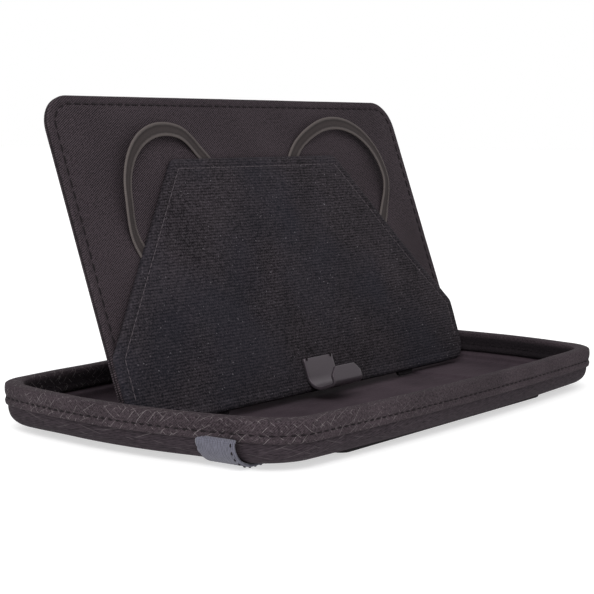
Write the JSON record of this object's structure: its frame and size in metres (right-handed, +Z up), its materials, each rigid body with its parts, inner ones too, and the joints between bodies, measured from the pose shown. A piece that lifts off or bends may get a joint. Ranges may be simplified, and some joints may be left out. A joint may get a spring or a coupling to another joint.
{
  "type": "tablet case",
  "caption": "Shallow soft-shell tablet case opened as a stand: bound tray, folding rear prop, leaning board with ribbed backrest, elastic corner loops and support hook.",
  "frame": {"origin": "on the table under the middle of the tray", "axes": "+X along the tray's long side, the board faces -Y, +Z up"},
  "size_m": [0.22, 0.134, 0.112],
  "materials": {
    "shell_fabric": "matt dark woven fabric over moulded foam",
    "lining": "smooth brushed lining",
    "binding_tape": "woven binding tape with pale diamond lines",
    "grey_elastic": "ribbed elastic",
    "board_twill": "fine diagonal twill",
    "ribbed_knit": "ribbed napped knit",
    "loop_elastic": "folded-edge elastic ribbon",
    "stiffener": "dense stiffener board",
    "hook_sheet": "satin black"
  },
  "bodies": {
    "tray": {"tray_shell": "shell_fabric", "tray_lining": "lining", "rim_binding": "binding_tape", "base_pad_rear": "shell_fabric", "base_pad_front": "shell_fabric", "floor_pad_left": "lining", "floor_pad_right": "lining", "closure_band": "grey_elastic", "rim_hinge_tape": "binding_tape"},
    "prop": {"prop_core": "stiffener", "prop_top_skin": "board_twill", "prop_under_skin": "board_twill"},
    "board": {"board_core": "stiffener", "board_front_skin": "board_twill", "board_back_skin": "board_twill", "board_edging": "board_twill", "board_hinge_tape": "binding_tape", "backrest_backing": "stiffener", "backrest_core": "stiffener", "backrest_cover": "ribbed_knit", "loop_tails": "loop_elastic", "support_hook": "hook_sheet", "left_foot_tab": "binding_tape", "right_foot_tab": "binding_tape"},
    "left_loop": {"left_loop": "loop_elastic"},
    "right_loop": {"right_loop": "loop_elastic"}
  },
  "joints": [
    {"name": "prop_hinge", "type": "hinge", "parent": "tray", "child": "prop", "pos_m": [0, 0.062, 0.0176], "axis": [1, 0, 0], "range_deg": [-54, 0]},
    {"name": "board_hinge", "type": "hinge", "parent": "prop", "child": "board", "pos_m": [0, 0.01939, 0.04852], "axis": [1, 0, 0], "range_deg": [0, 73.44]},
    {"name": "left_loop_swing", "type": "hinge", "parent": "board", "child": "left_loop", "pos_m": [-0.07302, 0.01794, 0.06168], "axis": [0.8363, 0.1848, 0.5162], "range_deg": [0, 40]},
    {"name": "right_loop_swing", "type": "hinge", "parent": "board", "child": "right_loop", "pos_m": [0.07302, 0.01794, 0.06168], "axis": [0.8363, -0.1848, -0.5162], "range_deg": [0, 40]}
  ],
  "couplings": [
    {"joint": "board_hinge", "follows": "prop_hinge", "ratio": -1.36}
  ]
}
